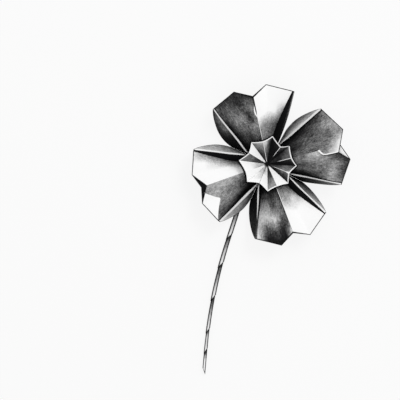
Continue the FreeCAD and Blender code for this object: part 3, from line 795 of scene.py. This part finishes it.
def petal_panels(petal):
    """The grids of a petal's front, with their marks, and its middle direction and outer points. The
    middle is half way between the outer corners."""
    left, right = (USUAL_SIDE | side for side in petal["sides"])
    outer = (left["seam"] - left["inset"], right["seam"] + right["inset"])
    middle = sum(outer) / 2
    left_lines, right_lines = (petal_side(side, corner, middle, petal["corner"], petal["tip"])
                               for side, corner in zip((left, right), outer))
    lip_left, groove, lip_right = crease_lines(petal, middle)

    def side_panels(side, lines, flip):
        """Skirt, wall, outer lobe and inner lobe of one side. flip reverses them left to right."""
        lobe = side["lobe"].split()
        words = (side["skirt"].split(), [side["wall"]] * 2, lobe[:3], lobe[2:])
        borders = ((side["hem"], side["band"]), (side["brow"], VALLEY_OUTLINE_AND_SHADE), (VALLEY_OUTLINE_AND_SHADE, 0),
                   (0, side["crease"]))
        folds = [FAR] * 4
        if "fold_over" in side:
            folds[2:] = [np.interp(np.linspace(0, 1, COLUMNS[-1] + 1) + half, *zip(*side["fold_over"]))
                         for half in (0, 1)]
        made = []
        for index in range(4):
            grid = panel(lines[index], lines[index + 1], COLUMNS[index], BOWS[index])
            mark = marked(grid, words[index], (*borders[index], OUTLINE), folds[index])
            grid[..., 2] += TIP_LIFT * np.clip(mark["step"][..., 0] / TIP_LIFT, 0, 1)
            # The star's painted shadow on the petal.
            mark = paint_star_shadow(grid, mark)
            if flip:
                grid = grid[::-1]
                mark = {key: values[::-1] for key, values in mark.items()}
            made.append((grid, mark))
        return made[::-1] if flip else made

    grooves = [panel(lip_left, groove, 1), panel(groove, lip_right, 1)]
    panels = (side_panels(left, left_lines + [lip_left], False)
              + [(grid, marked(grid, ("kkkkk",) * 2, (0, 0, 0))) for grid in grooves]
              + side_panels(right, right_lines + [lip_right], True))
    ends = [left_lines[2][-1], left_lines[3][-1], right_lines[3][-1], right_lines[2][-1]]
    return panels, middle, ends


print("a folded tip lies", TIP_LIFT, "mm over the lobe")

# %% [markdown]
# The lobes' outer margin is turned under by the petal's full width. It shows where the tips stand apart: as
# a bare sliver in one notch, painted as lit, and as a dark hollow in another, in painted shade. It is a
# second folded sheet just below the first.

# %% Fold the petals
MARGIN_ROWS, MARGIN_COLUMNS, MARGIN_INSET = 16, 10, 0.01


def petal_margin(petal, middle, ends):
    """The grids of the margin turned under a petal's tips, with their marks. Its outer edge runs from tip
    to tip by way of a peak between them, and its inner edge is nearer the root and lower."""
    peak = polar(petal["notch"] + petal["peek"], middle, NOTCH_HEIGHT)
    sink = (0, 0, PAPER / 2)
    depths = (TUCK_CORNER, TUCK_DEPTH, TUCK_DEPTH, TUCK_DEPTH, TUCK_CORNER)
    lines = []
    for outer, depth in zip((*ends[:2], peak, *ends[2:]), depths):
        share = depth / np.hypot(*outer[:2])
        inner = outer * (1 - share)
        inner[2] = outer[2] - TUCK_DROP - PAPER
        start = blend(outer, inner, MARGIN_INSET) - sink
        lines.append(smooth_line([inner, blend(start, inner, 0.5) - sink, start], MARGIN_ROWS))
    grids = [panel(first, second, MARGIN_COLUMNS) for first, second in zip(lines[:-1], lines[1:])]
    # The margin's tone under the tips is painted shade where it is dark and painted light where it is bare.
    return [(grid, marked(grid, (petal["under"],) * 2, (0, 0, OUTLINE))) for grid in grids]


def fold_petal(name, petal):
    """The petal's front and its turned-under margin as one piece of paper."""
    front, middle, ends = petal_panels(petal)
    vertices, parts = folded_layer(*zip(*front), 0)
    more_vertices, more_parts = folded_layer(*zip(*petal_margin(petal, middle, ends)), len(vertices))
    piece = make_piece(name + "_sheet", np.concatenate([vertices, more_vertices]), parts + more_parts,
                       petal_paper)
    dress(piece, name)


for name, petal in PETALS.items():
    fold_petal(name, petal)

# %% [markdown]
# ## Star
#
# The star's light and shade is painted facet by facet in pencil, clockwise from its first tip: dark where a
# pleat faces away from the light, bare where it faces the light, and black as painted shade in its heart.
# Each facet has its words and the lines along its first and its second crease: above 0 a white band, a
# painted highlight, below 0 a dark pencil line.

# %% Star
HEART_SHADE_REACH, HEART_SHADE_EDGE = 0.8, 1.5
# STAR_RIM is the width of the white band along the star's edge, a painted highlight.
STAR_RIM = 0.95
FADING = [(0.3, 0), (0.5, 0.25), (1, 0.3)]
SWELLING = [(0.1, 0), (0.3, 0.2), (0.8, 0.25), (0.95, 0.8)]
FACET_MARKS = (
    ("kkkkk kkknn", 0, FADING), ("nnndd kkknn", FADING, -0.3),
    ("nnndg nnggg", -0.2, FADING), ("kknnd kkkkn", FADING, 0),
    ("ndgdd dgmml", -0.2, SWELLING), ("ngmgm kkkkn", SWELLING, -0.3),
    ("wwwww wwwww", 0, 0), ("ndmlm ndgml", -0.15, -0.2),
    ("wwwww lwwww", 0, -0.15), ("lppww pwwww", -0.15, -0.15),
    ("wwwww wwwww", 0, 0), ("lpwww pwwww", 0, 0),
    ("ddggg ndggm", -0.2, -0.25), ("wwwww wwwww", 0, 0),
    ("kndgg dgmlp", -0.15, 0.2), ("dglpp dgmpp ndddg kkkkn", 0.25, 0),
)


def fold_star():
    """The star's top, the same below it, the rim, and the two faces of the foot."""
    marks = []
    for grid, (words, *lines) in zip(STAR_GRIDS, FACET_MARKS):
        mark = marked(grid, words.split(), (*lines, STAR_RIM))
        # The heart fades to black: painted shade at the bottom of the star's funnel.
        marks.append(faded(mark, np.hypot(grid[..., 0], grid[..., 1]) - HEART_SHADE_REACH, HEART_SHADE_EDGE))
    under = np.concatenate([grid[:-1] for grid in STAR_GRIDS])
    size = under[..., 0].size
    ring = np.arange(size).reshape(under.shape[:2])
    lower = np.concatenate([ring, ring[:1]])
    upper = lower + size
    over = grid_marks(*marks)
    rim = np.stack([upper[1:, -1], lower[1:, -1], lower[:-1, -1], upper[:-1, -1]], axis=1)
    # The foot's two faces are black, painted shade in the heart.
    foot_marks = edge_marks(len(ring)) | {"shade": np.zeros((len(ring), 1))}
    parts = [(grid_faces(upper), over), turned_over(lower, over), (rim, edge_marks(rim.size)),
             ([upper[:0:-1, 0]], foot_marks), ([lower[:-1, 0]], foot_marks)]
    points = under.reshape(-1, 3)
    return make_piece("star_sheet", np.concatenate([points, points + (0, 0, PAPER)]), parts, star_paper)


dress(fold_star(), "centre_star")

# %% [markdown]
# ## Hub
#
# The hub is a strip of paper rolled up round the wire: a wall along an Archimedean spiral, whose reach
# grows by one thickness and a hair of air in each turn.

# %% Hub
HUB_HEIGHT = 3.0
WIRE_RADIUS = 0.6
STRIP_AIR = 0.05
TURN_STEPS = 40


def roll_hub():
    """A closed strip along a spiral, between the hub's foot and top: reach = inner reach + pitch times
    turns."""
    pitch = PAPER + STRIP_AIR
    turns = (HUB_RADIUS - WIRE_RADIUS - PAPER) / pitch
    turn = np.linspace(0, turns, int(turns * TURN_STEPS))
    reach = np.minimum(WIRE_RADIUS + pitch * turn, HUB_RADIUS - PAPER)
    foot = HUB_TOP - HUB_HEIGHT
    loop = np.stack([polar(reach + wall, turn * 360, height)
                     for wall, height in ((PAPER, foot), (PAPER, HUB_TOP), (0, HUB_TOP), (0, foot))])
    index = np.arange(loop[..., 0].size).reshape(loop.shape[:2])
    sides = np.concatenate([index, index[:1]])
    ends = np.array([index[:, 0], index[::-1, -1]])
    tone = np.full(sides.shape, GRADES["m"])
    parts = [turned_over(sides, grid_marks(plain_marks(tone))), (ends, edge_marks(ends.size))]
    return make_piece("hub_spiral", loop.reshape(-1, 3), parts, plain_paper)


dress(roll_hub(), "hub_roll")

# %% [markdown]
# ## Stem
#
# The stem is a wire wrapped with a long strip of paper. It leaves the back of the head, bends until it lies
# level, turns and bows. Such a route is easiest to give by its heading and pitch. Both change evenly in a
# bend, and the place is the sum of many small steps in that direction. Each turn of the strip laps over the
# next with a small slanting step, so the wrap is a row of long cones.

# %% The stem's route
NECK_RADIUS, FOOT_RADIUS = 1.5, 1.0
NECK_BEND, NECK_HEADING, NECK_RUN = 4.2, 234.0, 16.8
TURN_BEND, TURN_HEADING, STEM_RUN = 42.0, 252.0, 20.0
BOW_BEND, FOOT_HEADING, FOOT_RUN = 320.0, 265.0, 15.0
LAP_STEP, LAP_START, LAP_PITCH = 0.16, 18.2, 21.2
LAP_SHARES = (0.885, 1.015, 0.995)
LAP_SLANT, CUT_SLANT = 30.0, 25.0
ROUTE_STEPS = 6000

lying = NECK_RADIUS + LAP_STEP
stretches = (HUB_TOP - lying - NECK_BEND, NECK_BEND * math.pi / 2, NECK_RUN,
             TURN_BEND * math.radians(TURN_HEADING - NECK_HEADING), STEM_RUN,
             BOW_BEND * math.radians(FOOT_HEADING - TURN_HEADING), FOOT_RUN)
route_knots = np.concatenate([[0], np.cumsum(stretches)])
knot_headings = (NECK_HEADING,) * 4 + (TURN_HEADING,) * 2 + (FOOT_HEADING,) * 2
knot_pitches = (-90, -90, 0, 0, 0, 0, 0, 0)


def directions(distance):
    """The unit vectors ahead, to the left and upwards from the route, at those distances along it."""
    heading = np.radians(np.interp(distance, route_knots, knot_headings))
    pitch = np.radians(np.interp(distance, route_knots, knot_pitches))
    ahead = np.stack([np.cos(heading) * np.cos(pitch), np.sin(heading) * np.cos(pitch), np.sin(pitch)], -1)
    left = np.stack([-np.sin(heading), np.cos(heading), np.zeros_like(heading)], -1)
    return ahead, left, np.cross(ahead, left)


fine = np.linspace(0, route_knots[-1], ROUTE_STEPS + 1)
strides = directions((fine[1:] + fine[:-1]) / 2)[0] * np.diff(fine)[:, None]
route_places = np.array([0, 0, HUB_TOP]) + np.vstack([np.zeros(3), np.cumsum(strides, axis=0)])


def on_route(distance):
    """The points of the route at those distances from its top."""
    return np.stack([np.interp(distance, fine, route_places[:, axis]) for axis in range(3)], axis=-1)


print("the stem is", round(route_knots[-1], 1), "mm long")

# %% [markdown]
# The strip's edges are pencilled as dark lines, and the paper next to an edge carries a painted shadow
# where it goes under the following turn. So each ring of the wrap has a distance, a radius, a line and a
# shade.

# %% The laps
EDGE_DARK, LAP_SHADOW_LENGTH, CUT_DARK, LAP_SHADOW_DEPTH = 0.9, 3.0, 0.8, 0.85
LONGEST_LAP = 1.2
PLAIN_RINGS, LAP_RINGS, FOOT_RINGS = 100, 34, 26
SHADE_PLACES, SHADES = (0, 0.4, 0.8, 2.0), (0, 0.3, 1, 1)
FOOT_SHADE = 6.0
TINY = 1e-6
LAP_LEAN, CUT_LEAN = (math.tan(math.radians(90 - slant)) for slant in (LAP_SLANT, CUT_SLANT))
turn_end, foot_start, foot_end = route_knots[[4, 6, 7]]
cut_middle = foot_end - FOOT_RADIUS * CUT_LEAN


def lap_edges():
    """The distances of the laps' edges: turns of uneven length, the last one up to the foot."""
    edges = [turn_end + LAP_START]
    while foot_start - edges[-1] > LONGEST_LAP * LAP_PITCH:
        edges.append(edges[-1] + LAP_PITCH * LAP_SHARES[(len(edges) - 1) % len(LAP_SHARES)])
    return np.array(edges + [foot_start])


def lap_rows():
    """Distance, radius, line and shade of each ring of the wrap's outside, from the hub to the cut. From
    edge to edge the radius grows evenly from a step below the stem's taper to a step above it. The line is
    1 at an edge and at the cut, and just past an edge it darkens as a painted shadow under the lap. The
    shade, a painted shadow past each lap, falls from 1 to 0 on the way to the next edge, and past the
    foot's start it fades with the distance behind it."""
    edges = lap_edges()
    overlap = (NECK_RADIUS + 2 * LAP_STEP) * LAP_LEAN
    distance = [np.linspace(HUB_HEIGHT, edges[0], PLAIN_RINGS)]
    radius = [np.full(PLAIN_RINGS, NECK_RADIUS)]
    for near, far in zip(edges[:-1], edges[1:]):
        taper = (np.array([near, far]) - edges[0]) / (foot_start - edges[0])
        narrow, wide = blend(NECK_RADIUS, FOOT_RADIUS, taper) + (-LAP_STEP, LAP_STEP)
        share = np.linspace(0, 1, LAP_RINGS)
        distance.append(blend(near, far, share))
        radius.append(blend(narrow, wide, (overlap + share * (far - near)) / (far - near + 2 * overlap)))
    distance.append(np.linspace(foot_start, cut_middle, FOOT_RINGS))
    radius.append(np.full(FOOT_RINGS, FOOT_RADIUS))
    distance = np.concatenate(distance)
    gaps = edges - distance[:, None]
    ahead = np.min(np.where(gaps >= -TINY, gaps, FAR), axis=1)
    behind = np.min(np.where(gaps <= TINY, -gaps, FAR), axis=1)
    line = np.clip(1 - np.minimum(ahead / EDGE_DARK, (cut_middle - distance) / CUT_DARK), 0, 1)
    # Painted shadow just behind each lap's edge.
    line = np.maximum(line, LAP_SHADOW_DEPTH * np.clip(1 - behind / LAP_SHADOW_LENGTH, 0, 1))
    # Painted shadow on the paper past each lap, greyest just past an edge.
    shade = np.interp(ahead / LAP_PITCH, SHADE_PLACES, SHADES)
    shade = np.where(distance > foot_start, np.clip(1 - behind / FOOT_SHADE, 0, 1), shade)
    return distance, np.concatenate(radius), line, shade


print("the laps' edges lie at", lap_edges().round(1), "mm")

# %% [markdown]
# A row of the wrap is a ring of points round the route. Past the turn the rings lean as the strip's edges
# do, with their left side back, and at the free end they lean the other way, as the cut does. The rings run
# down the outside, over the cut end, and back through the bore. The stem's sides are painted black, which
# draws its outline and is painted shade on its flanks, and its underside is painted grey as painted shade.

# %% Wrap the stem
AROUND = 36
BORE_THINNING = 6
SIDE_PLACES, SIDE_TONES = (0.3, 0.55, 0.75), (0, 0.5, 1)
SHADED_UNDERSIDE_SINE = -0.1


def wrap_stem():
    """The wrap: rings of points at centre + radius times (left cos a + up sin a), and back by the lean
    times the way to the left."""
    distance, radius, line, shade = lap_rows()
    bore = distance[::-BORE_THINNING]
    distance = np.concatenate([distance, distance[-1:], bore])
    radius = np.concatenate([radius, np.full(1 + len(bore), WIRE_RADIUS)])
    line, shade = (np.concatenate([rows, np.ones(1 + len(bore))]) for rows in (line, shade))
    ahead, left, up = directions(distance)
    angle = np.radians(np.linspace(0, 360, AROUND, endpoint=False))[:, None]
    lateral = np.cos(angle) * radius
    upward = np.sin(angle) * radius
    lean = np.interp(distance, (turn_end, turn_end + LAP_START, foot_start, cut_middle),
                     (0, LAP_LEAN, LAP_LEAN, -CUT_LEAN))
    rings = (on_route(distance) - ahead * (lean * lateral)[..., None] + left * lateral[..., None]
             + up * upward[..., None])
    index = np.arange(rings[..., 0].size).reshape(rings.shape[:2])
    # Painted shade: black on the stem's sides, and grey on its pale top past each lap edge.
    tone = blend(blend(GRADES["w"], GRADES["g"], shade), GRADES["k"],
                 np.interp(np.abs(np.cos(angle)), SIDE_PLACES, SIDE_TONES))
    # Painted shade on the underside.
    tone = np.where(np.sin(angle) < SHADED_UNDERSIDE_SINE, GRADES["m"], tone)
    tone = blend(tone, GRADES["k"], line)
    closed, tone = (np.pad(table, (0, 1), "wrap") for table in (index, tone))
    return make_piece("stem_strip", rings.reshape(-1, 3),
                      [(grid_faces(closed), grid_marks(plain_marks(tone)))], plain_paper)


dress(wrap_stem(), "stem_wrap")

# %% [markdown]
# ## Wire
#
# The wire shows only at the cut end. It is drawn steel, and fine unevenness breaks its shine.

# %% Wire
STEEL = (0.45, 0.45, 0.46, 1)
DRAWN_LINE, DRAWN_DEPTH, DRAWN_STRENGTH = 0.2, 0.02, 0.3
STEEL_ROUGHNESS, ROUGHNESS_SPREAD = 0.3, 0.2

steel = Finish("drawn_steel")
wire_place = steel.node("TexCoord", {}, "Object")
drawn = steel.noise(wire_place, 1 / (DRAWN_LINE * MM), 2.0)
wire_bump = steel.node("Bump", {
    "Height": drawn, "Strength": DRAWN_STRENGTH, "Distance": DRAWN_DEPTH * MM})
wire_skin = steel.node("BsdfPrincipled", {
    "Base Color": STEEL, "Metallic": 1.0, "Roughness": STEEL_ROUGHNESS + drawn * ROUGHNESS_SPREAD,
    "Normal": wire_bump})
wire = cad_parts["stem_wire"]
wire.data.materials.clear()
wire.data.materials.append(steel.surface(wire_skin))
print("the wire's own mesh has", len(wire.data.polygons), "faces")
